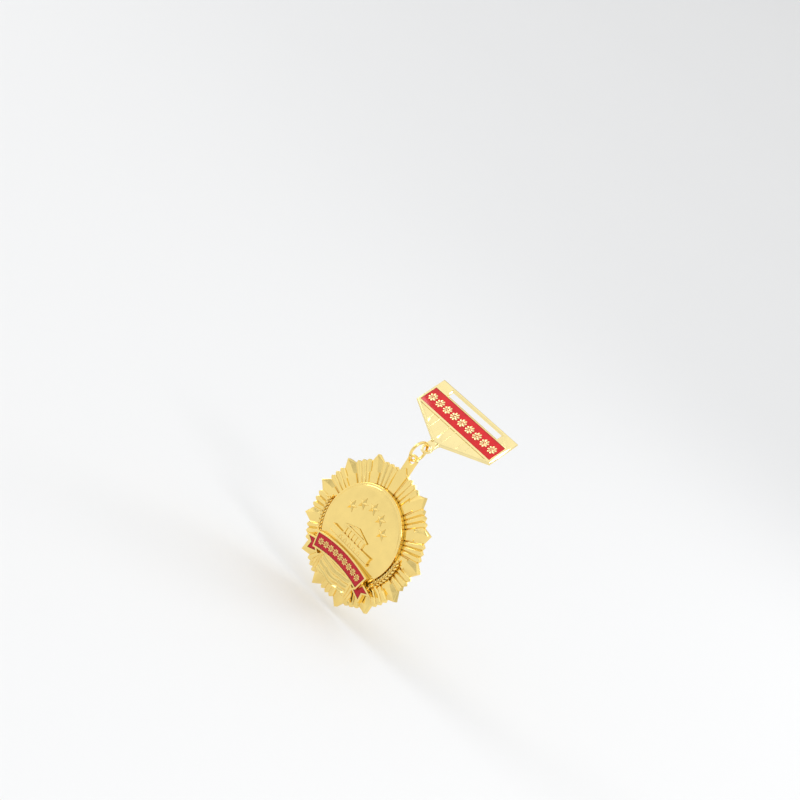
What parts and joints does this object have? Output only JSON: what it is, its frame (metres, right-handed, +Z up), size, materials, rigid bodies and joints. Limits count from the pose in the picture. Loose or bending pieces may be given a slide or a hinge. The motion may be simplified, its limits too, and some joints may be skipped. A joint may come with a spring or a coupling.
{
  "type": "award medal",
  "caption": "Gilt sunburst award medal on a jump ring, hung from a red-enamelled hanger bar with a ribbon slot and a brooch pin with a turning catch on its back.",
  "frame": {"origin": "middle of the closed brooch pin, the line where the medal is pinned to cloth", "axes": "+Z up, along the hanging badge; -Y out of the badge's face, towards the viewer; +X to the viewer's right, along the pin"},
  "size_m": [0.069, 0.0298, 0.103],
  "materials": {
    "gold": "polished gold plate",
    "pale_gold": "polished pale gold plate",
    "red_enamel": "glossy red enamel",
    "deep_red_enamel": "glossy deep red enamel",
    "pin_metal": "satin gilt"
  },
  "bodies": {
    "hanger": {"hanger_plate": "pale_gold", "hanger_enamel": "red_enamel", "pin_base": "pin_metal", "pin_rivet": "pin_metal"},
    "pin": {"pin_stem": "pin_metal"},
    "catch": {"catch_rotor": "pin_metal"},
    "ring": {"jump_ring": "gold"},
    "badge": {"star_plate": "gold", "centre_disc": "gold", "ribbon_banner": "gold", "banner_enamel": "deep_red_enamel", "banner_tail_enamel_right": "deep_red_enamel", "banner_tail_enamel_left": "deep_red_enamel", "drapery_swag": "gold", "laurel_sprig_right": "gold", "laurel_sprig_left": "gold", "disc_rivet_left": "pin_metal", "disc_rivet_right": "pin_metal", "banner_rivet_left": "pin_metal", "banner_rivet_right": "pin_metal"}
  },
  "joints": [
    {"name": "ring_turn", "type": "hinge", "parent": "hanger", "child": "ring", "pos_m": [0, -0.01957, -0.01481], "axis": [1, 0, 0], "range_deg": [-110, 25]},
    {"name": "badge_swing", "type": "hinge", "parent": "ring", "child": "badge", "pos_m": [0, -0.01957, -0.01951], "axis": [1, 0, 0], "range_deg": [-32, 32]},
    {"name": "pin_open", "type": "hinge", "parent": "hanger", "child": "pin", "pos_m": [-0.0145, 0, 0], "axis": [0, 0.6414, 0.7672], "range_deg": [0, 80]},
    {"name": "catch_turn", "type": "hinge", "parent": "hanger", "child": "catch", "pos_m": [0.0135, 0, 0], "axis": [1, 0, 0], "range_deg": [-150, 0]}
  ]
}
